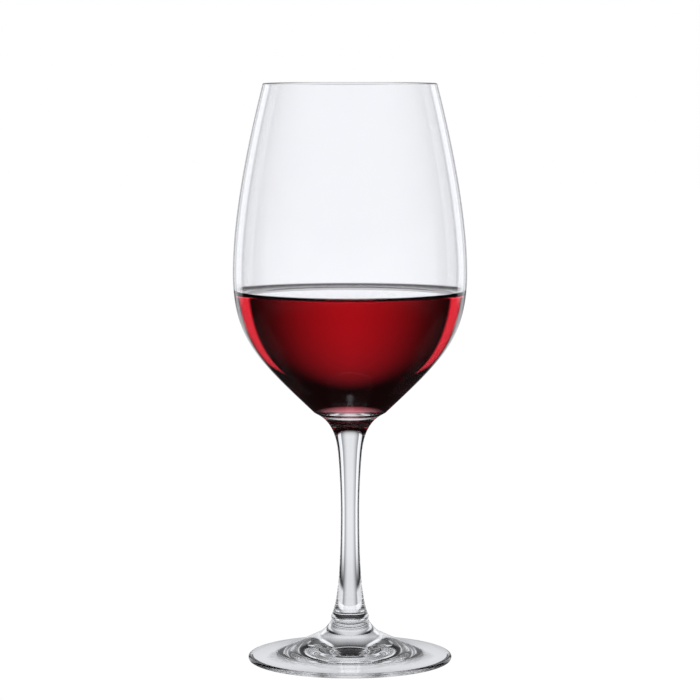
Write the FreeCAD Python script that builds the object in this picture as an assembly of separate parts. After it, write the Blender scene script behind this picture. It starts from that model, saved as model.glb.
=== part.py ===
import FreeCAD, Part
import math
import os

# A stemmed red-wine glass, in millimetres. The axis is Z, and the origin is the middle of the plane
# that the foot stands on. Every outline is drawn in the half plane of (radius, height) and turned
# about the axis. Heights are above the table.

# Driving dimensions
HEIGHT = 225.0  # foot to lip
RIM_RADIUS = 33.75  # outside, just under the lip
BELLY_RADIUS = 45.4  # outside, at the widest
BELLY_HEIGHT = 151.3
WALL = 1.2  # thickness of the bowl at the belly
LIP = 1.1  # thickness of the bowl at the lip, which is a half round
BOWL_FLOOR = 99.1  # the lowest point inside the bowl
WINE_LEVEL = 143.4

NECK_RADIUS = 4.7  # where the bowl is fused to the stem
NECK_HEIGHT = 82.0
WAIST_RADIUS = 3.6  # the stem at its thinnest
WAIST_HEIGHT = 58.5

SEAM_RADIUS = 6.5  # the disc where the stem is fused to the foot
SEAM_HEIGHT = 16.1
SEAM_ROUND = 0.9  # rounded edges above and below the seam, which leave a fine groove

FOOT_RADIUS = 39.8
FOOT_EDGE = 2.0  # thickness of the foot's rounded edge
RING_OUTER = FOOT_RADIUS - FOOT_EDGE / 2.0  # the flat ring that the glass stands on
RING_INNER = 37.6
HOLLOW = 3.4  # rise of the foot's underside at its middle

# Poles of the Bezier curves, as (radius, height). Each curve leaves its ends along its outer poles.
SHOULDER = (14.2, 97.5)
BOWL_UPPER = [
    (RIM_RADIUS, HEIGHT - LIP / 2.0),
    (38.85, 204.7),
    (BELLY_RADIUS, 174.5),
    (BELLY_RADIUS, BELLY_HEIGHT),
]
BOWL_LOWER = [(BELLY_RADIUS, BELLY_HEIGHT), (BELLY_RADIUS, 126.9), (35.6, 117.8), SHOULDER]
BOWL_NECK = [SHOULDER, (13.1, 96.4), (6.1, 95.3), (NECK_RADIUS, NECK_HEIGHT)]

INNER_SHOULDER = (21.4, 106.4)
INNER_UPPER = [
    (RIM_RADIUS - LIP, HEIGHT - LIP / 2.0),
    (37.75, 204.7),
    (BELLY_RADIUS - WALL, 174.5),
    (BELLY_RADIUS - WALL, BELLY_HEIGHT),
]
INNER_LOWER = [
    (BELLY_RADIUS - WALL, BELLY_HEIGHT),
    (BELLY_RADIUS - WALL, 130.7),
    (36.6, 120.6),
    INNER_SHOULDER,
]
INNER_BOTTOM = [INNER_SHOULDER, (19.1, 104.3), (10.7, BOWL_FLOOR), (0.0, BOWL_FLOOR)]

STEM_UPPER = [
    (NECK_RADIUS, NECK_HEIGHT),
    (4.1, 76.4),
    (WAIST_RADIUS, 65.4),
    (WAIST_RADIUS, WAIST_HEIGHT),
]
STEM_END = (SEAM_RADIUS + SEAM_ROUND, SEAM_HEIGHT + SEAM_ROUND)
STEM_LOWER = [(WAIST_RADIUS, WAIST_HEIGHT), (WAIST_RADIUS, 34.2), (4.9, 22.0), STEM_END]

CONE_TOP = (SEAM_RADIUS + SEAM_ROUND, SEAM_HEIGHT - SEAM_ROUND)
CONE_BASE = (12.4, 10.3)
PLATE_START = (29.0, 3.9)
FOOT_CONE = [CONE_TOP, (8.3, 13.7), (10.2, 11.35), CONE_BASE]
FOOT_FILLET = [CONE_BASE, (16.8, 8.2), (22.0, 5.3), PLATE_START]
FOOT_HOLLOW = [(RING_INNER, 0.0), (30.0, 1.7), (16.0, HOLLOW), (0.0, HOLLOW)]


def point(place):
    """A point of the outline's half plane, from its radius and height."""
    return FreeCAD.Vector(place[0], 0.0, place[1])


def line(start, end):
    return Part.makeLine(point(start), point(end))


def arc(start, middle, end):
    return Part.Arc(point(start), point(middle), point(end)).toShape()


def curve(poles):
    bezier = Part.BezierCurve()
    bezier.setPoles([point(pole) for pole in poles])
    return bezier.toShape()


def turned(edges):
    """The solid that a closed outline makes when it turns a full circle about the axis."""
    outline = Part.Face(Part.Wire(edges))
    return outline.revolve(FreeCAD.Vector(0, 0, 0), FreeCAD.Vector(0, 0, 1), 360)


def make_bowl():
    """The thin blown bowl, open at the top, down to the solid button over the stem."""
    lip_outside = BOWL_UPPER[0]
    lip_inside = INNER_UPPER[0]
    lip_top = (RIM_RADIUS - LIP / 2.0, HEIGHT)
    return turned(
        [
            line((0.0, NECK_HEIGHT), (NECK_RADIUS, NECK_HEIGHT)),
            curve(BOWL_NECK),
            curve(BOWL_LOWER),
            curve(BOWL_UPPER),
            arc(lip_outside, lip_top, lip_inside),
            curve(INNER_UPPER),
            curve(INNER_LOWER),
            curve(INNER_BOTTOM),
            line((0.0, BOWL_FLOOR), (0.0, NECK_HEIGHT)),
        ]
    )


def make_stem():
    """The solid drawn stem, slimmest at its waist, with a flared lower end."""
    corner = SEAM_ROUND * (1.0 - math.sqrt(0.5))
    round_middle = (STEM_END[0] - corner, SEAM_HEIGHT + corner)
    return turned(
        [
            line((0.0, NECK_HEIGHT), (NECK_RADIUS, NECK_HEIGHT)),
            curve(STEM_UPPER),
            curve(STEM_LOWER),
            arc(STEM_END, round_middle, (SEAM_RADIUS, SEAM_HEIGHT)),
            line((SEAM_RADIUS, SEAM_HEIGHT), (0.0, SEAM_HEIGHT)),
            line((0.0, SEAM_HEIGHT), (0.0, NECK_HEIGHT)),
        ]
    )


def make_foot():
    """The pressed foot: a small cone that runs out into a shallow plate, hollowed underneath."""
    corner = SEAM_ROUND * (1.0 - math.sqrt(0.5))
    round_middle = (CONE_TOP[0] - corner, SEAM_HEIGHT - corner)
    edge_top = (RING_OUTER, FOOT_EDGE)
    edge_middle = (FOOT_RADIUS, FOOT_EDGE / 2.0)
    return turned(
        [
            line((0.0, SEAM_HEIGHT), (SEAM_RADIUS, SEAM_HEIGHT)),
            arc((SEAM_RADIUS, SEAM_HEIGHT), round_middle, CONE_TOP),
            curve(FOOT_CONE),
            curve(FOOT_FILLET),
            line(PLATE_START, edge_top),
            arc(edge_top, edge_middle, (RING_OUTER, 0.0)),
            line((RING_OUTER, 0.0), (RING_INNER, 0.0)),
            curve(FOOT_HOLLOW),
            line((0.0, HOLLOW), (0.0, SEAM_HEIGHT)),
        ]
    )


def make_wine():
    """The wine, which fills the inside of the bowl from its floor up to the level."""
    inside = turned(
        [
            line((0.0, BOWL_FLOOR), (0.0, HEIGHT - LIP / 2.0)),
            line((0.0, HEIGHT - LIP / 2.0), INNER_UPPER[0]),
            curve(INNER_UPPER),
            curve(INNER_LOWER),
            curve(INNER_BOTTOM),
        ]
    )
    below_level = Part.makeCylinder(BELLY_RADIUS, WINE_LEVEL)
    return inside.common(below_level)


def only_solid(shape):
    """The one solid of a shape, so that a file holds a solid and not a compound around it."""
    solid = shape.Solids[0]
    if solid.Volume < 0:
        solid.reverse()
    return solid


PIECES = {
    "bowl": make_bowl,
    "stem": make_stem,
    "foot": make_foot,
    "red_wine": make_wine,
}

os.makedirs("parts", exist_ok=True)
for node, make in PIECES.items():
    piece = only_solid(make())
    piece.exportStep("parts/" + node + ".step")
    box = piece.optimalBoundingBox()
    print(
        "%-9s valid %s  %8.1f mm3  radius %.2f  height %.2f to %.2f"
        % (node, piece.isValid(), piece.Volume, box.XMax, box.ZMin, box.ZMax)
    )
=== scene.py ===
# %% [markdown]
# # A stemmed glass of red wine
#
# This lesson builds a wine glass round a fixed CAD frame. The CAD holds four solids: the bowl, the
# stem, the foot and the wine. Here each of them is made again as a fine turned mesh, given glass and
# wine that bend light as the real ones do, and lit as a glass is lit in a studio.

import math

import bmesh
import bpy
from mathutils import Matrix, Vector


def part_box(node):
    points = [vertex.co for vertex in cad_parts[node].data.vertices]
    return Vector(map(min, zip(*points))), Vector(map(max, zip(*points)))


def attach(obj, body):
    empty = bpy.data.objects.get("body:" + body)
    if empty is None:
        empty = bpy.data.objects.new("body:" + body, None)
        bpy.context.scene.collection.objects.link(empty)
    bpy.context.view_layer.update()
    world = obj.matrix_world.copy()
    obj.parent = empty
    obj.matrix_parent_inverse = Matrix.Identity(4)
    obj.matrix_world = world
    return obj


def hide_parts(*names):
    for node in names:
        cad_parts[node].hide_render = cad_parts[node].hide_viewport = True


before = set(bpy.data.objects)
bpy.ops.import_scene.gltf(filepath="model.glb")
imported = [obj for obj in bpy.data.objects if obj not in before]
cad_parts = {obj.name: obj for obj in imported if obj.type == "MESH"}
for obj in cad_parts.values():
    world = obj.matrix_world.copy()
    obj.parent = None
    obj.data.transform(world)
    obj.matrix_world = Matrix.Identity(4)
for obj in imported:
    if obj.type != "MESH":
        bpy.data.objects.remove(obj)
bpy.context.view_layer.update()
bowl_low, bowl_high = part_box("bowl")
stem_low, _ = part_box("stem")
_, foot_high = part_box("foot")
wine_low, wine_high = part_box("red_wine")

# %% [markdown]
# ## Outlines
#
# Everything in a wine glass is turned about one upright axis, so each piece is a closed outline in
# the half plane of radius and height. The outline is a chain of cubic Bezier curves, which need very
# few points for a long smooth wall. The poles below are in millimetres above the table, and they are
# the same curves that the CAD solids were turned from. Heights and radii that the frame already
# knows are read from the frame.

# %% Measures of the glass
MM = 0.001
HEIGHT = bowl_high[2] / MM
FOOT_RADIUS = foot_high[0] / MM
WINE_LEVEL = wine_high[2] / MM
BOWL_FLOOR = wine_low[2] / MM
NECK_HEIGHT = bowl_low[2] / MM
SEAM_HEIGHT = stem_low[2] / MM
BELLY = (45.4, 151.3)
RIM_RADIUS = 33.75
LIP = 1.1
WALL = 1.2
SHOULDER = (14.2, 97.5)
NECK = (4.7, NECK_HEIGHT)
WAIST = (3.6, 58.5)
SEAM_RADIUS = 6.5
SEAM_ROUND = 0.9
INNER_SHOULDER = (21.4, 106.4)
INNER_BELLY = (BELLY[0] - WALL, BELLY[1])
INNER_RIM = (RIM_RADIUS - LIP, HEIGHT - LIP / 2)
FOOT_EDGE = 2.0
RING_OUTER = FOOT_RADIUS - FOOT_EDGE / 2
RING_INNER = 37.6
HOLLOW = 3.4
print("wine level %.1f mm, bowl floor %.1f mm, lip %.1f mm" % (WINE_LEVEL, BOWL_FLOOR, HEIGHT))

# %% [markdown]
# A straight stretch is a Bezier curve whose poles lie on one line, and a quarter round is one whose
# inner poles stand 0.5523 of the radius from its ends. With these two helpers, one kind of curve
# draws the whole outline. A curve can also be cut in two without changing its shape: that parts the
# wall at a chosen height, and gives a bend that light passes at a low angle more points.

# %% Straights and quarter rounds
QUARTER = 0.5523
HALVINGS = 50


def straight(start, end):
    """Poles of a straight stretch."""
    third = [(end[i] - start[i]) / 3 for i in (0, 1)]
    near_start = (start[0] + third[0], start[1] + third[1])
    near_end = (end[0] - third[0], end[1] - third[1])
    return [start, near_start, near_end, end]


def quarter_round(start, corner, end):
    """Poles of a quarter of a circle, which leaves start towards the corner and comes to end from it."""
    near_start = tuple(start[i] + (corner[i] - start[i]) * QUARTER for i in (0, 1))
    near_end = tuple(end[i] + (corner[i] - end[i]) * QUARTER for i in (0, 1))
    return [start, near_start, near_end, end]


def point_on(poles, share):
    """The point at a share of the way along a cubic Bezier curve."""
    a, b, c, d = poles
    back = 1 - share
    weights = (back**3, 3 * back**2 * share, 3 * back * share**2, share**3)
    return tuple(sum(w * pole[i] for w, pole in zip(weights, (a, b, c, d))) for i in (0, 1))


def split(poles, share):
    """The two curves that a cubic Bezier curve is cut into, by de Casteljau's construction."""
    def between(p, q):
        return tuple(p[i] + (q[i] - p[i]) * share for i in (0, 1))

    a, b, c, d = poles
    ab, bc, cd = between(a, b), between(b, c), between(c, d)
    abc, bcd = between(ab, bc), between(bc, cd)
    middle = between(abc, bcd)
    return [a, ab, abc, middle], [middle, bcd, cd, d]


def halved(poles, times):
    """A curve cut in half a number of times, so that its mesh gets more points."""
    if times == 0:
        return [poles]
    return [piece for half in split(poles, 0.5) for piece in halved(half, times - 1)]


def share_at_height(poles, height):
    """How far along a curve that rises or falls all the way it reaches a height."""
    low, high = 0.0, 1.0
    falling = poles[0][1] > poles[3][1]
    for _ in range(HALVINGS):
        share = (low + high) / 2
        if (point_on(poles, share)[1] > height) == falling:
            low = share
        else:
            high = share
    return (low + high) / 2


round_middle = point_on(quarter_round((1.0, 0.0), (1.0, 1.0), (0.0, 1.0)), 0.5)
print("a quarter round of radius 1 is off by %.4f in its middle" % abs(math.hypot(*round_middle) - 1))

# %% [markdown]
# The inside of the bowl is one wall, but light meets it in two ways. Above the wine it parts glass
# from air, and below it parts glass from wine, which bends light far less. So the inner wall is cut
# at the height where the wine's edge creeps up the glass, and the two stretches get their own finish.

# %% Outlines of the glass
MENISCUS = 1.9
CONTACT_HEIGHT = WINE_LEVEL + MENISCUS

outer_wall = [
    [NECK, (6.1, 95.3), (13.1, 96.4), SHOULDER],
    [SHOULDER, (35.6, 117.8), (BELLY[0], 126.9), BELLY],
    [BELLY, (BELLY[0], 174.5), (38.85, 204.7), (RIM_RADIUS, HEIGHT - LIP / 2)],
]
lip_middle = (RIM_RADIUS - LIP / 2, HEIGHT)
lip = [
    quarter_round((RIM_RADIUS, HEIGHT - LIP / 2), (RIM_RADIUS, HEIGHT), lip_middle),
    quarter_round(lip_middle, (RIM_RADIUS - LIP, HEIGHT), INNER_RIM),
]
inner_upper = [INNER_RIM, (37.75, 204.7), (INNER_BELLY[0], 174.5), INNER_BELLY]
inner_lower = [INNER_BELLY, (INNER_BELLY[0], 130.7), (36.6, 120.6), INNER_SHOULDER]
inner_bottom = [INNER_SHOULDER, (19.1, 104.3), (10.7, BOWL_FLOOR), (0.0, BOWL_FLOOR)]
dry_part, wet_part = split(inner_lower, share_at_height(inner_lower, CONTACT_HEIGHT))

APART = 0.02
bowl_stretches = {
    "fused": [straight((0.0, NECK_HEIGHT + APART), NECK)],
    "dry": outer_wall + lip + [inner_upper, dry_part],
    "wetted": [wet_part, inner_bottom],
}
print("the wine's edge meets the wall at radius %.2f mm" % wet_part[0][0])

stem_end = (SEAM_RADIUS + SEAM_ROUND, SEAM_HEIGHT + SEAM_ROUND)
flare = [stem_end, (4.9, 22.0), (WAIST[0], 34.2), WAIST]
stem_stretches = {
    "fused": [straight((0.0, SEAM_HEIGHT), (SEAM_RADIUS, SEAM_HEIGHT))],
    "dry": [
        quarter_round((SEAM_RADIUS, SEAM_HEIGHT), (stem_end[0], SEAM_HEIGHT), stem_end),
        *halved(flare, 2),
        [WAIST, (WAIST[0], 65.4), (4.1, 76.4), NECK],
    ],
    "fused_top": [straight(NECK, (0.0, NECK_HEIGHT))],
}

cone_top = (SEAM_RADIUS + SEAM_ROUND, SEAM_HEIGHT - SEAM_ROUND)
cone_base = (12.4, 10.3)
plate_start = (29.0, 3.9)
edge_top = (RING_OUTER, FOOT_EDGE)
edge_middle = (FOOT_RADIUS, FOOT_EDGE / 2)
foot_stretches = {
    "dry": [
        [(0.0, HOLLOW), (16.0, HOLLOW), (30.0, 1.7), (RING_INNER, 0.0)],
        straight((RING_INNER, 0.0), (RING_OUTER, 0.0)),
        quarter_round((RING_OUTER, 0.0), (FOOT_RADIUS, 0.0), edge_middle),
        quarter_round(edge_middle, (FOOT_RADIUS, FOOT_EDGE), edge_top),
        straight(edge_top, plate_start),
        *halved([plate_start, (22.0, 5.3), (16.8, 8.2), cone_base], 1),
        *halved([cone_base, (10.2, 11.35), (8.3, 13.7), cone_top], 1),
        quarter_round(cone_top, (cone_top[0], SEAM_HEIGHT), (SEAM_RADIUS, SEAM_HEIGHT)),
    ],
    "fused": [straight((SEAM_RADIUS, SEAM_HEIGHT), (0.0, SEAM_HEIGHT - APART))],
}

# %% [markdown]
# ## The lathe
#
# The Screw modifier or bmesh.ops.spin could turn an outline, but a Geometry Nodes tree does it with
# named inputs and is used for every stretch here. It sweeps the outline round a tiny circle with Curve
# to Mesh, after moving it inwards by that circle's radius, so its points land at their true radius.
# Points on the axis fall together, and Merge by Distance closes them into one pole.

# %% Build the lathe tree
RAIL_RADIUS = 0.001
POLE_MERGE = 1e-7


def lathe_tree():
    tree = bpy.data.node_groups.new("lathe", "GeometryNodeTree")
    face = tree.interface
    face.new_socket("Outline", in_out="INPUT", socket_type="NodeSocketGeometry")
    face.new_socket("Steps Round", in_out="INPUT", socket_type="NodeSocketInt")
    face.new_socket("Finish", in_out="INPUT", socket_type="NodeSocketMaterial")
    face.new_socket("Turned", in_out="OUTPUT", socket_type="NodeSocketGeometry")
    new, link = tree.nodes.new, tree.links.new
    given = new("NodeGroupInput")
    rail = new("GeometryNodeCurvePrimitiveCircle")
    rail.inputs["Radius"].default_value = RAIL_RADIUS
    link(given.outputs["Steps Round"], rail.inputs["Resolution"])
    upright = new("GeometryNodeSetCurveNormal")
    upright.mode = "Z_UP"
    link(rail.outputs["Curve"], upright.inputs["Curve"])
    inwards = new("GeometryNodeSetPosition")
    inwards.inputs["Offset"].default_value = (-RAIL_RADIUS, 0, 0)
    link(given.outputs["Outline"], inwards.inputs["Geometry"])
    sweep = new("GeometryNodeCurveToMesh")
    link(upright.outputs["Curve"], sweep.inputs["Curve"])
    link(inwards.outputs["Geometry"], sweep.inputs["Profile Curve"])
    close_poles = new("GeometryNodeMergeByDistance")
    close_poles.inputs["Distance"].default_value = POLE_MERGE
    link(sweep.outputs["Mesh"], close_poles.inputs["Geometry"])
    realize = new("GeometryNodeRealizeInstances")
    link(close_poles.outputs["Geometry"], realize.inputs["Geometry"])
    finish = new("GeometryNodeSetMaterial")
    link(realize.outputs["Geometry"], finish.inputs["Geometry"])
    link(given.outputs["Finish"], finish.inputs["Material"])
    made = new("NodeGroupOutput")
    link(finish.outputs["Geometry"], made.inputs["Turned"])
    return tree


LATHE = lathe_tree()
SOCKETS = {item.name: item.identifier for item in LATHE.interface.items_tree}
print("lathe tree with", len(LATHE.nodes), "nodes")

# %% [markdown]
# An outline becomes a Bezier spline: each pole list gives one segment, whose two inner poles are the
# handles. Curve to Mesh lays an outline's own Y downwards, so heights go in with their sign turned.

# %% Outline to turned mesh
STEPS_ROUND = 192
POINTS_A_CURVE = 42
print("each curve becomes", STEPS_ROUND * POINTS_A_CURVE, "faces")


def outline_curve(name, curves):
    """A curve object of one Bezier spline, through a chain of cubic curves in millimetres."""
    data = bpy.data.curves.new(name, "CURVE")
    data.dimensions = "3D"
    data.resolution_u = POINTS_A_CURVE
    spline = data.splines.new("BEZIER")
    spline.bezier_points.add(len(curves))
    places = [[(r * MM, -h * MM, 0.0) for r, h in poles] for poles in curves]
    for knot in spline.bezier_points:
        knot.handle_left_type = knot.handle_right_type = "FREE"
    first, last = spline.bezier_points[0], spline.bezier_points[-1]
    first.co = first.handle_left = places[0][0]
    last.co = last.handle_right = places[-1][3]
    for index, poles in enumerate(places):
        here, there = spline.bezier_points[index], spline.bezier_points[index + 1]
        here.co, here.handle_right = poles[0], poles[1]
        there.handle_left, there.co = poles[2], poles[3]
    curve = bpy.data.objects.new(name, data)
    bpy.context.collection.objects.link(curve)
    return curve


def turned(curves, material):
    """The mesh that a chain of curves makes when the lathe turns it."""
    curve = outline_curve("outline", curves)
    modifier = curve.modifiers.new("lathe", "NODES")
    modifier.node_group = LATHE
    modifier[SOCKETS["Steps Round"]] = STEPS_ROUND
    modifier[SOCKETS["Finish"]] = material
    done = curve.evaluated_get(bpy.context.evaluated_depsgraph_get())
    mesh = bpy.data.meshes.new_from_object(done)
    data = curve.data
    bpy.data.objects.remove(curve)
    bpy.data.curves.remove(data)
    return mesh


# %% [markdown]
# A piece is several stretches, each with its own finish, welded into one closed mesh. Once it is
# whole, its normals are worked out again so that they all point out of the solid. It is shaded smooth,
# but not across the few true corners, because a glass wall with a wrongly rounded normal bends light
# as if it had a dent.

# %% Weld the stretches of a piece
SHARP_OVER = math.radians(35)
WELD = 2e-6
print("corners sharper than %.0f degrees stay sharp" % math.degrees(SHARP_OVER))


def welded(name, shells):
    """A closed piece from shells, each a list of (curves, material) stretches."""
    whole = bmesh.new()
    materials = []
    for shell in shells:
        part = bmesh.new()
        for curves, material in shell:
            if material not in materials:
                materials.append(material)
            mesh = turned(curves, material)
            start = len(part.faces)
            part.from_mesh(mesh)
            part.faces.ensure_lookup_table()
            for face in part.faces[start:]:
                face.material_index = materials.index(material)
            bpy.data.meshes.remove(mesh)
        bmesh.ops.remove_doubles(part, verts=part.verts, dist=WELD)
        bmesh.ops.recalc_face_normals(part, faces=part.faces)
        scratch = bpy.data.meshes.new("shell")
        part.to_mesh(scratch)
        part.free()
        whole.from_mesh(scratch)
        bpy.data.meshes.remove(scratch)
    open_edges = sum(not edge.is_manifold for edge in whole.edges)
    volume = whole.calc_volume()
    mesh = bpy.data.meshes.new(name)
    whole.to_mesh(mesh)
    whole.free()
    for material in materials:
        mesh.materials.append(material)
    mesh.shade_smooth()
    mesh.set_sharp_from_angle(angle=SHARP_OVER)
    piece = bpy.data.objects.new(name, mesh)
    bpy.context.collection.objects.link(piece)
    print("%s: %d faces, %.1f cm3, %d open edges" % (name, len(mesh.polygons), volume * 1e6, open_edges))
    return piece


# %% [markdown]
# ## One helper for every node tree
# A shader is a small sum: take a value, multiply it, compare it. Each step is one Math node, and wiring
# such nodes by hand takes three lines every time. The helper below makes one node from either sockets
# or plain numbers, so a longer sum reads like ordinary code.

# %% Math nodes
def reckon(tree, operation, first, second=0.0):
    """A Math node on two values, each of them a socket or a number."""
    node = tree.nodes.new("ShaderNodeMath")
    node.operation = operation
    for socket, value in zip(node.inputs, (first, second)):
        if isinstance(value, bpy.types.NodeSocket):
            tree.links.new(value, socket)
        else:
            socket.default_value = value
    return node.outputs[0]


print("one Math node for each call of", reckon.__name__)

# %% [markdown]
# ## Touch marks and waves
# Clear glass shows its surface only where it is not perfect: a washed glass keeps faint smears, and
# blown glass is never quite even. Both belong to every material here, so they are made once, as a shader
# node group with named inputs. The group gives out a tint, a roughness and a height, and nothing else;
# the shader itself stays in each material. Noise in Object coordinates needs no unwrapping and stays
# fixed to the piece when it moves.

# %% Touch marks group
SMEARS_START = 0.5
SMEARS_FULL = 0.8
SMEAR_DETAIL = 5.0
WAVE_DETAIL = 1.0


def touch_marks():
    """A node group for a hand-washed surface."""
    tree = bpy.data.node_groups.new("touch marks", "ShaderNodeTree")
    for name in ("Smears", "Smears a Metre", "Waves", "Waves a Metre"):
        tree.interface.new_socket(name, in_out="INPUT", socket_type="NodeSocketFloat")
    for name in ("Clean Tint", "Smeared Tint"):
        tree.interface.new_socket(name, in_out="INPUT", socket_type="NodeSocketColor")
    tree.interface.new_socket("Tint", in_out="OUTPUT", socket_type="NodeSocketColor")
    tree.interface.new_socket("Roughness", in_out="OUTPUT", socket_type="NodeSocketFloat")
    tree.interface.new_socket("Height", in_out="OUTPUT", socket_type="NodeSocketFloat")
    given = tree.nodes.new("NodeGroupInput").outputs
    made = tree.nodes.new("NodeGroupOutput").inputs
    place = tree.nodes.new("ShaderNodeTexCoord").outputs["Object"]

    def noise(spots_a_metre, detail):
        node = tree.nodes.new("ShaderNodeTexNoise")
        node.inputs["Detail"].default_value = detail
        tree.links.new(place, node.inputs["Vector"])
        tree.links.new(spots_a_metre, node.inputs["Scale"])
        return node.outputs["Fac"]

    smear = tree.nodes.new("ShaderNodeMapRange")
    smear.interpolation_type = "SMOOTHSTEP"
    smear.inputs["From Min"].default_value = SMEARS_START
    smear.inputs["From Max"].default_value = SMEARS_FULL
    tree.links.new(noise(given["Smears a Metre"], SMEAR_DETAIL), smear.inputs["Value"])
    tint = tree.nodes.new("ShaderNodeMix")
    tint.data_type = "RGBA"
    tree.links.new(smear.outputs["Result"], tint.inputs["Factor"])
    tree.links.new(given["Clean Tint"], tint.inputs["A"])
    tree.links.new(given["Smeared Tint"], tint.inputs["B"])
    tree.links.new(tint.outputs["Result"], made["Tint"])
    tree.links.new(reckon(tree, "MULTIPLY", smear.outputs["Result"], given["Smears"]), made["Roughness"])
    waves = noise(given["Waves a Metre"], WAVE_DETAIL)
    tree.links.new(reckon(tree, "MULTIPLY", waves, given["Waves"]), made["Height"])
    return tree


TOUCH_MARKS = touch_marks()
print("touch marks:", len(TOUCH_MARKS.nodes), "nodes")

# %% [markdown]
# ## Six clear materials
# Light bends where one stuff meets another, by the ratio of their refractive indices. So the inside of
# the bowl needs two materials: dry above the wine, where glass meets air (1.52), and wetted below it,
# where glass meets wine (1.52 / 1.34 = 1.13). The glass is one melt from rim to foot, so the faces
# where two pieces touch are made invisible with an Alpha of 0. The wine is a little body of colour
# (Volume Absorption) with a thin clear film on top that bends the light as wine does; its other faces
# have an index of 1.0, because the wetted glass has already done the bending.

# %% Clear materials
GLASS_IOR = 1.52
WINE_IOR = 1.34
SMEAR_ROUGHNESS = 0.012
SMEARS_A_METRE = 34.0
WAVES_A_METRE = 42.0
WAVE_HEIGHT = 0.000008
WINE_COLOUR = (0.84, 0.02, 0.13, 1)
WINE_DENSITY = 66.0
GLASS_TINTS = ((1.0, 1.0, 1.0, 1), (0.985, 0.99, 0.992, 1))


def clear(name, ior, tints=GLASS_TINTS, smears=SMEAR_ROUGHNESS, waves=1.0):
    """A see-through material with the touch marks on it."""
    material = bpy.data.materials.new(name)
    material.use_nodes = True
    tree = material.node_tree
    shader = tree.nodes["Principled BSDF"]
    shader.inputs["Transmission Weight"].default_value = 1.0
    shader.inputs["IOR"].default_value = ior
    marks = tree.nodes.new("ShaderNodeGroup")
    marks.node_tree = TOUCH_MARKS
    marks.inputs["Smears"].default_value = smears
    marks.inputs["Smears a Metre"].default_value = SMEARS_A_METRE
    marks.inputs["Waves"].default_value = waves
    marks.inputs["Waves a Metre"].default_value = WAVES_A_METRE
    marks.inputs["Clean Tint"].default_value = tints[0]
    marks.inputs["Smeared Tint"].default_value = tints[1]
    bump = tree.nodes.new("ShaderNodeBump")
    bump.inputs["Distance"].default_value = WAVE_HEIGHT
    tree.links.new(marks.outputs["Tint"], shader.inputs["Base Color"])
    tree.links.new(marks.outputs["Roughness"], shader.inputs["Roughness"])
    tree.links.new(marks.outputs["Height"], bump.inputs["Height"])
    tree.links.new(bump.outputs["Normal"], shader.inputs["Normal"])
    return material


dry_glass = clear("dry_glass", GLASS_IOR)
wetted_glass = clear("wetted_glass", GLASS_IOR / WINE_IOR)
fused_glass = clear("fused_glass", GLASS_IOR)
fused_glass.node_tree.nodes["Principled BSDF"].inputs["Alpha"].default_value = 0.0
wine_top = clear("wine_top", WINE_IOR, smears=0.0, waves=2.0)
wine_under_top = clear("wine_under_top", 1.0, smears=0.0)
wine_body = clear("wine_body", 1.0, smears=0.0)
body_nodes = wine_body.node_tree.nodes
drink = body_nodes.new("ShaderNodeVolumeAbsorption")
drink.inputs["Color"].default_value = WINE_COLOUR
drink.inputs["Density"].default_value = WINE_DENSITY
wine_body.node_tree.links.new(drink.outputs["Volume"], body_nodes["Material Output"].inputs["Volume"])
clear_ones = (dry_glass, wetted_glass, fused_glass, wine_top, wine_under_top, wine_body)
print("clear materials:", [material.name for material in clear_ones])

# %% [markdown]
# ## Bowl, stem and foot
# Each piece is one closed skin of lathed stretches, and every stretch has its own material. The bowl
# starts at the disc where the stem joins it, goes up outside, over the fire-polished rim and down
# inside; below the wine line the same wall is wetted. The stem has a joint at each end. The foot has one
# on top only, and its hollow underside leaves a narrow ring for the glass to stand on.

# %% Glass pieces
bowl = welded(
    "glass_bowl",
    [
        [
            (bowl_stretches["fused"], fused_glass),
            (bowl_stretches["dry"], dry_glass),
            (bowl_stretches["wetted"], wetted_glass),
        ]
    ],
)
stem = welded(
    "glass_stem",
    [
        [
            (stem_stretches["fused"], fused_glass),
            (stem_stretches["dry"], dry_glass),
            (stem_stretches["fused_top"], fused_glass),
        ]
    ],
)
foot = welded(
    "glass_foot",
    [
        [
            (foot_stretches["dry"], dry_glass),
            (foot_stretches["fused"], fused_glass),
        ]
    ],
)

# %% [markdown]
# ## Wine
# The wine follows the inside of the bowl a hair's breadth off the wall, because two faces in exactly the
# same place confuse a ray tracer. Its surface is flat, and climbs the wall in a small meniscus. It is
# two shells: the coloured body, and a quarter of a millimetre of clear film above it. Keeping the
# colour in a shell with one material lets the renderer know where the colour begins and ends.

# %% Wine
GAP = 0.02
FILM = 0.25
FLAT_SHORT_OF_WALL = 8.0
MENISCUS_START = 3.5
MENISCUS_STEEP = 1.0
MENISCUS_LIFT = 0.45
contact_radius = wet_part[0][0]


def off_wall(poles):
    return [(r - GAP, h) for r, h in poles]


def surface(edge, drop):
    """The wine's surface, a flat middle and a meniscus up to an edge point, lowered by a drop."""
    level = WINE_LEVEL - drop
    flat_end = (contact_radius - FLAT_SHORT_OF_WALL, level)
    meniscus = [
        flat_end,
        (contact_radius - MENISCUS_START, level),
        (contact_radius - MENISCUS_STEEP, level + MENISCUS_LIFT),
        edge,
    ]
    return [straight((0.0, level), flat_end), meniscus]


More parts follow.
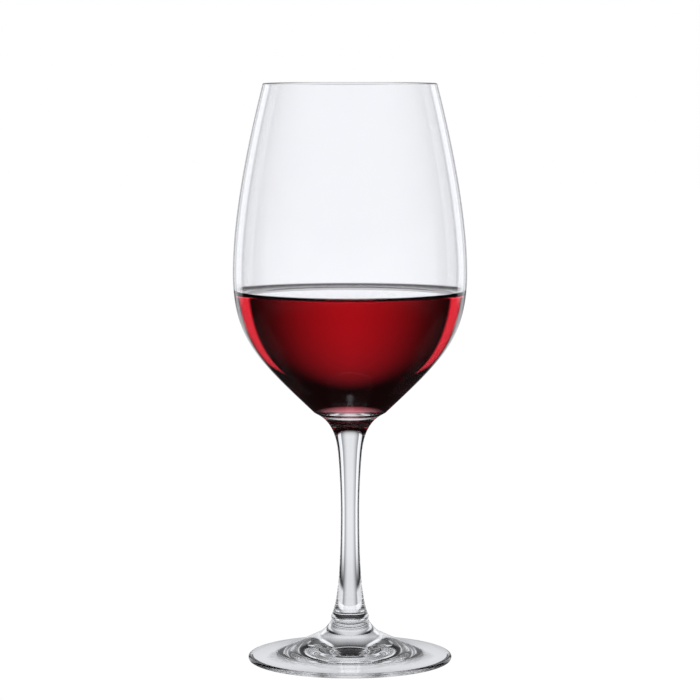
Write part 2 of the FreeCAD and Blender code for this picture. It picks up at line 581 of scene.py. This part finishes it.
film_wall, _ = split(wet_part, share_at_height(wet_part, CONTACT_HEIGHT - FILM))
film_wall = off_wall(film_wall)
_, body_wall = split(wet_part, share_at_height(wet_part, CONTACT_HEIGHT - FILM - GAP))
body_wall = off_wall(body_wall)
body_bottom = [(max(r - GAP, 0.0), h + GAP) for r, h in inner_bottom]
body_bottom[0] = body_wall[3]
film_top = surface((contact_radius - GAP, CONTACT_HEIGHT), 0.0)
film_under = surface(film_wall[3], FILM)
body_top = surface(body_wall[0], FILM + GAP)
wine = welded(
    "wine",
    [
        [(body_top + [body_wall, body_bottom], wine_body)],
        [(film_top, wine_top), (film_under + [film_wall[::-1]], wine_under_top)],
    ],
)

# %% [markdown]
# ## Floor
# The glass stands on a sheet of white paper, and the sky behind it is as white, so no horizon shows. The
# sheet glows evenly instead of being lit: a lit sheet would have to be very large and very bright to
# turn out pure white. Only the camera sees it. The glass looks past it to the studio set up below.

# %% Paper floor
PAPER_SIZE = 8.0
BELOW_FOOT = 0.0002
FIBRES_A_METRE = 900.0
GLOW_LOW = 1.0
GLOW_HIGH = 1.02
bpy.ops.mesh.primitive_plane_add(size=PAPER_SIZE, location=(0, 0, -BELOW_FOOT))
floor = bpy.context.object
floor.name = "floor"
paper = bpy.data.materials.new("paper")
paper.use_nodes = True
paper.node_tree.nodes.clear()
fibres = paper.node_tree.nodes.new("ShaderNodeTexNoise")
fibres.inputs["Scale"].default_value = FIBRES_A_METRE
whiteness = paper.node_tree.nodes.new("ShaderNodeMapRange")
whiteness.inputs["To Min"].default_value = GLOW_LOW
whiteness.inputs["To Max"].default_value = GLOW_HIGH
place = paper.node_tree.nodes.new("ShaderNodeTexCoord").outputs["Object"]
glow = paper.node_tree.nodes.new("ShaderNodeEmission")
paper_out = paper.node_tree.nodes.new("ShaderNodeOutputMaterial")
paper.node_tree.links.new(place, fibres.inputs["Vector"])
paper.node_tree.links.new(fibres.outputs["Fac"], whiteness.inputs["Value"])
paper.node_tree.links.new(whiteness.outputs["Result"], glow.inputs["Strength"])
paper.node_tree.links.new(glow.outputs["Emission"], paper_out.inputs["Surface"])
floor.data.materials.append(paper)
floor.visible_transmission = False
floor.visible_glossy = False
floor.visible_diffuse = False
floor.visible_shadow = False
print("floor:", PAPER_SIZE, "m square")

# %% [markdown]
# ## Soft boxes in a dark studio
# Clear glass has no shade of its own: it shows the room, bent. So a studio lights the sheet behind it
# and keeps the sides dark: the edges come out as dark lines, and a pair of soft boxes makes the bright
# ones. The same is done here in the world shader. A direction is told by two angles: the
# azimuth away from straight behind the glass, alike on the left and on the right, and the elevation.
# One node group makes a soft box: a window in both angles with soft borders.

# %% Soft box group
BOX_EDGES = ("From", "To", "Soft Sides", "Low", "Soft Low", "High", "Soft High", "Power")
TO_DEGREES = math.degrees(1.0)


def soft_box_group():
    """A panel of light: 1 inside its edges, and fading to 0 over its soft borders."""
    tree = bpy.data.node_groups.new("soft box", "ShaderNodeTree")
    for name in ("Azimuth", "Elevation") + BOX_EDGES:
        tree.interface.new_socket(name, in_out="INPUT", socket_type="NodeSocketFloat")
    tree.interface.new_socket("Light", in_out="OUTPUT", socket_type="NodeSocketFloat")
    given = tree.nodes.new("NodeGroupInput").outputs
    made = tree.nodes.new("NodeGroupOutput").inputs

    def beyond(value, edge, soft):
        half = reckon(tree, "MULTIPLY", soft, 0.5)
        fade = tree.nodes.new("ShaderNodeMapRange")
        fade.interpolation_type = "SMOOTHSTEP"
        tree.links.new(value, fade.inputs["Value"])
        tree.links.new(reckon(tree, "SUBTRACT", edge, half), fade.inputs["From Min"])
        tree.links.new(reckon(tree, "ADD", edge, half), fade.inputs["From Max"])
        return fade.outputs["Result"]

    def window(value, low, soft_low, high, soft_high):
        not_past = reckon(tree, "SUBTRACT", 1.0, beyond(value, high, soft_high))
        return reckon(tree, "MULTIPLY", beyond(value, low, soft_low), not_past)

    sides = given["Soft Sides"]
    across = window(given["Azimuth"], given["From"], sides, given["To"], sides)
    upright = window(
        given["Elevation"], given["Low"], given["Soft Low"], given["High"], given["Soft High"]
    )
    lit = reckon(tree, "MULTIPLY", across, upright)
    tree.links.new(reckon(tree, "MULTIPLY", lit, given["Power"]), made["Light"])
    return tree


SOFT_BOX = soft_box_group()
studio = bpy.data.worlds.new("studio")
bpy.context.scene.world = studio
studio.use_nodes = True
sky = studio.node_tree
sky.nodes.clear()
toward = sky.nodes.new("ShaderNodeSeparateXYZ")
sky.links.new(sky.nodes.new("ShaderNodeTexCoord").outputs["Generated"], toward.inputs[0])
sideways = reckon(sky, "ABSOLUTE", toward.outputs["X"])
azimuth = reckon(sky, "MULTIPLY", reckon(sky, "ARCTAN2", sideways, toward.outputs["Y"]), TO_DEGREES)
elevation = reckon(sky, "MULTIPLY", reckon(sky, "ARCSINE", toward.outputs["Z"]), TO_DEGREES)
print("soft box inputs:", len(SOFT_BOX.interface.items_tree) - 1)

# %% [markdown]
# ## Which light for which part
# A stylist moves the lamps for each part of a glass and joins the exposures. Here the Light Path node
# does it in one go: it tells how many surfaces a ray has passed. Up to two means the solid stem or foot,
# four the two walls of the empty bowl, more than that the wine. Rays mirrored at the surface get lamps
# of their own. Every box is one row: its edges in degrees, then its power. Two rules make the glass look
# right from elsewhere too: wine that is simply looked through sees its boxes on all four sides, and a
# single wall seen from steeply above sees white.

# %% Studio light
LIGHT_TINT = (0.952, 0.96, 1.0, 1)
STEEP = -50.0
EIGHTH_TURN = 45.0
PAPER_BEHIND_BOWL = 1.08
path = sky.nodes.new("ShaderNodeLightPath")


def soft_boxes(around, base, boxes):
    """The light of several boxes over an even base light."""
    total = base
    for edges in boxes:
        box = sky.nodes.new("ShaderNodeGroup")
        box.node_tree = SOFT_BOX
        sky.links.new(around, box.inputs["Azimuth"])
        sky.links.new(elevation, box.inputs["Elevation"])
        for name, value in zip(BOX_EDGES, edges):
            box.inputs[name].default_value = value
        total = reckon(sky, "ADD", total, box.outputs["Light"])
    return total


def passed(count):
    """1 for a ray that has passed more than a number of surfaces."""
    return reckon(sky, "GREATER_THAN", path.outputs["Transmission Depth"], count + 0.5)


def straight_through(count):
    """1 for a ray that did nothing but pass a number of surfaces; the sky counts as one more."""
    return reckon(sky, "LESS_THAN", path.outputs["Ray Depth"], count + 1.5)


def blend(choice, no, yes):
    """One of two values, each of them a socket or a number."""
    mix = sky.nodes.new("ShaderNodeMix")
    sky.links.new(choice, mix.inputs[0])
    for socket, value in zip(mix.inputs[2:4], (no, yes)):
        if isinstance(value, bpy.types.NodeSocket):
            sky.links.new(value, socket)
        else:
            socket.default_value = value
    return mix.outputs[0]


every_side = blend(straight_through(6), azimuth, reckon(sky, "PINGPONG", azimuth, EIGHTH_TURN))
through_base = soft_boxes(azimuth, base=0.03, boxes=[
    (-90, 22, 30, -12, 8, 30, 30, 0.85),
    (-90, 20, 26, -66, 10, -12, 8, 0.75),
    (27, 45, 5, -14, 8, 30, 10, 1.0),
    (25, 75, 8, -44, 8, -19, 3, 0.85),
    (80, 190, 16, -25, 12, 28, 10, 0.2),
    (84, 190, 12, -21, 6, 6, 8, 0.6),
])
through_bowl = soft_boxes(azimuth, base=0.12, boxes=[
    (-90, 40, 30, -20, 10, 60, 10, 0.7),
    (-90, 42, 20, 0, 6, 16, 8, 0.95),
])
through_wine = soft_boxes(every_side, base=0.01, boxes=[
    (-90, 12, 28, -26, 10, 22, 44, 0.95),
    (-90, 30, 20, -30, 10, 26, 20, 0.12),
    (38, 60, 4, -36, 8, 37, 8, 2.0),
])
mirrored = soft_boxes(azimuth, base=0.02, boxes=[
    (-90, 14, 8, -14, 8, 32, 10, 0.5),
    (20, 46, 6, -8, 8, 45, 10, 1.2),
    (12, 32, 6, -15, 6, -8, 6, 1.0),
    (112, 200, 60, -8, 8, 40, 10, 0.7),
])
through_walls = blend(straight_through(4), through_bowl, PAPER_BEHIND_BOWL)
steep = reckon(sky, "LESS_THAN", elevation, STEEP)
from_above = reckon(sky, "MULTIPLY", steep, straight_through(2))
through_solid = blend(from_above, through_base, 1.0)
through = blend(passed(2), through_solid, blend(passed(4), through_walls, through_wine))
print("soft boxes:", sum(n.bl_idname == "ShaderNodeGroup" for n in sky.nodes))

# %% [markdown]
# ## One sky out of all the lights
# Each set of lamps becomes a Background shader, and Mix Shader nodes choose between them: the camera
# itself sees plain white, a ray that has passed a surface sees the lamps behind the glass, and a
# mirrored ray sees the lamps meant for highlights. The lamps are a touch cooler than the paper, as
# daylight is.

# %% Join the lights
def background(strength, colour=LIGHT_TINT):
    shader = sky.nodes.new("ShaderNodeBackground")
    shader.inputs["Color"].default_value = colour
    if isinstance(strength, bpy.types.NodeSocket):
        sky.links.new(strength, shader.inputs["Strength"])
    return shader.outputs["Background"]


def either(choice, no, yes):
    mix = sky.nodes.new("ShaderNodeMixShader")
    for socket, value in zip(mix.inputs, (choice, no, yes)):
        sky.links.new(value, socket)
    return mix.outputs[0]


lit = either(path.outputs["Is Transmission Ray"], background(mirrored), background(through))
everything = either(path.outputs["Is Camera Ray"], lit, background(1.0, (1, 1, 1, 1)))
sky.links.new(everything, sky.nodes.new("ShaderNodeOutputWorld").inputs["Surface"])
print("studio:", len(sky.nodes), "nodes")

# %% [markdown]
# ## Camera
# The camera stands a little above the rim and looks slightly down, so the foot shows as an ellipse and
# the rim nearly as a line. A long lens from further away keeps the sides of the glass upright. Clear
# glass needs many bounces: a ray passes six surfaces on its way through the wine alone.

# %% Camera
CAMERA_BACK = 1.216
CAMERA_HEIGHT = 0.2404
LOOKS_DOWN = 5.578
LENS = 161.7
SENSOR = 36.0
BOUNCES = 32
MIRROR_BOUNCES = 12
cam_data = bpy.data.cameras.new("camera")
cam = bpy.data.objects.new("camera", cam_data)
bpy.context.collection.objects.link(cam)
cam_data.sensor_width = SENSOR
cam_data.lens = LENS
cam.location = (0, -CAMERA_BACK, CAMERA_HEIGHT)
cam.rotation_euler = (math.radians(90 - LOOKS_DOWN), 0, 0)
bpy.context.scene.camera = cam
bpy.context.scene.view_settings.view_transform = "Standard"
tracer = bpy.context.scene.cycles
tracer.max_bounces = tracer.transmission_bounces = tracer.transparent_max_bounces = BOUNCES
tracer.glossy_bounces = MIRROR_BOUNCES
print("camera:", CAMERA_BACK, "m back,", LOOKS_DOWN, "degrees down")

# %% [markdown]
# ## Hand over
# Every finished piece is tied to the frame: it rides with the root and takes the place of its CAD node,
# which is hidden.

# %% Hand over
for piece, node, slot in (
    (bowl, "bowl", "clear_glass"),
    (stem, "stem", "clear_glass"),
    (foot, "foot", "clear_glass"),
    (wine, "red_wine", "red_wine"),
):
    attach(piece, "root")
    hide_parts(node)
    print(piece.name, "stands for", node)
